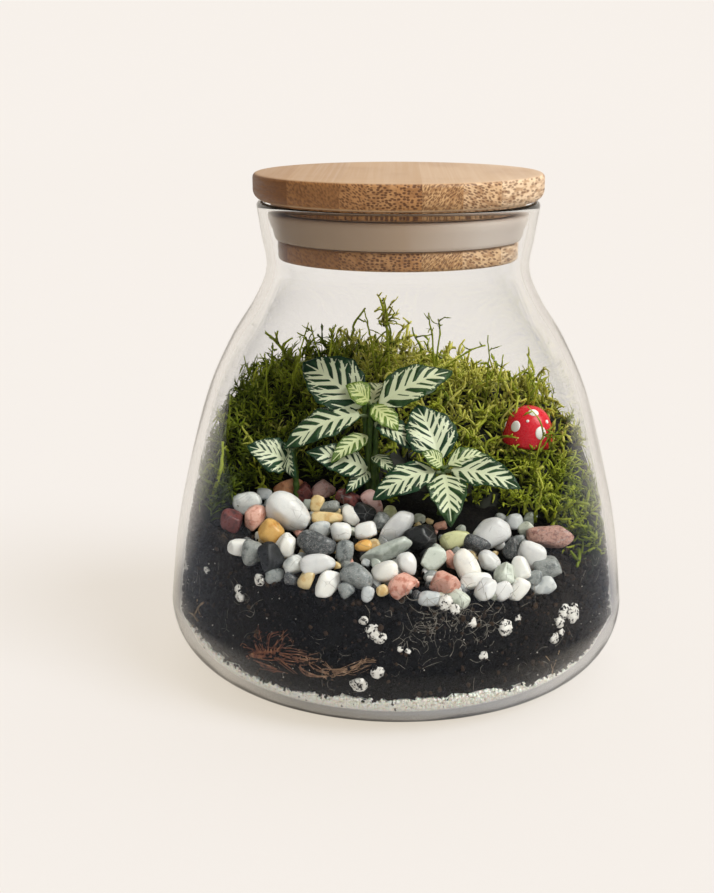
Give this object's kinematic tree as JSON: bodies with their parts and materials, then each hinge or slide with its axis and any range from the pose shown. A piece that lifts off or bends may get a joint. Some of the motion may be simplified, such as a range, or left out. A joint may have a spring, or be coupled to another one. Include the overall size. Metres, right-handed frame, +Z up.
{
  "type": "glass plant terrarium",
  "caption": "Lidded glass jar terrarium with sand, soil, a pebble bed, moss, white-veined plants and a toy toadstool; a bamboo lid with a soft seal closes the mouth.",
  "frame": {"origin": "centre of the jar's flat foot", "axes": "+Z up along the jar's axis; the pebble bed faces -Y; +X is to the right when the pebble bed is seen from the front"},
  "size_m": [0.15, 0.15, 0.1604],
  "materials": {
    "glass": "gloss",
    "bamboo": "satin",
    "silicone": "satin",
    "sand": "matte",
    "soil": "matte",
    "grit": "satin",
    "pebble_white": "gloss",
    "pebble_grey": "gloss",
    "pebble_charcoal": "gloss",
    "pebble_black": "gloss",
    "pebble_brown": "gloss",
    "pebble_mauve": "gloss",
    "pebble_pink": "gloss",
    "pebble_salmon": "gloss",
    "pebble_amber": "gloss",
    "pebble_sage": "gloss",
    "pebble_yellow": "gloss",
    "leaf": "satin",
    "moss": "matte",
    "cap_red": "gloss",
    "stalk_white": "matte"
  },
  "bodies": {
    "root": {"glass_jar": "glass", "lid_disc": "bamboo", "lid_plug": "bamboo", "lid_seal": "silicone", "sand_layer": "sand", "potting_soil": "soil", "pebble_bed": "grit", "pebble_pink": "pebble_pink", "pebble_white_large": "pebble_white", "pebble_amber": "pebble_amber", "pebble_brown": "pebble_brown", "pebble_mauve": "pebble_mauve", "pebble_white_long": "pebble_white", "pebble_charcoal": "pebble_charcoal", "pebble_sage_long": "pebble_sage", "pebble_black_left": "pebble_black", "pebble_white_oval": "pebble_white", "pebble_white_front": "pebble_white", "pebble_grey_front": "pebble_grey", "pebble_salmon_left": "pebble_salmon", "pebble_black_right": "pebble_black", "pebble_yellow": "pebble_yellow", "pebble_sage": "pebble_sage", "pebble_white_round": "pebble_white", "pebble_white_tall": "pebble_white", "pebble_grey_drop": "pebble_grey", "pebble_granite": "pebble_pink", "pebble_salmon_right": "pebble_salmon", "nerve_plant_main": "leaf", "nerve_plant_left": "leaf", "nerve_plant_right": "leaf", "toadstool_cap": "cap_red", "toadstool_stalk": "stalk_white", "moss_left": "moss", "moss_back": "moss", "moss_right": "moss"}
  },
  "joints": []
}
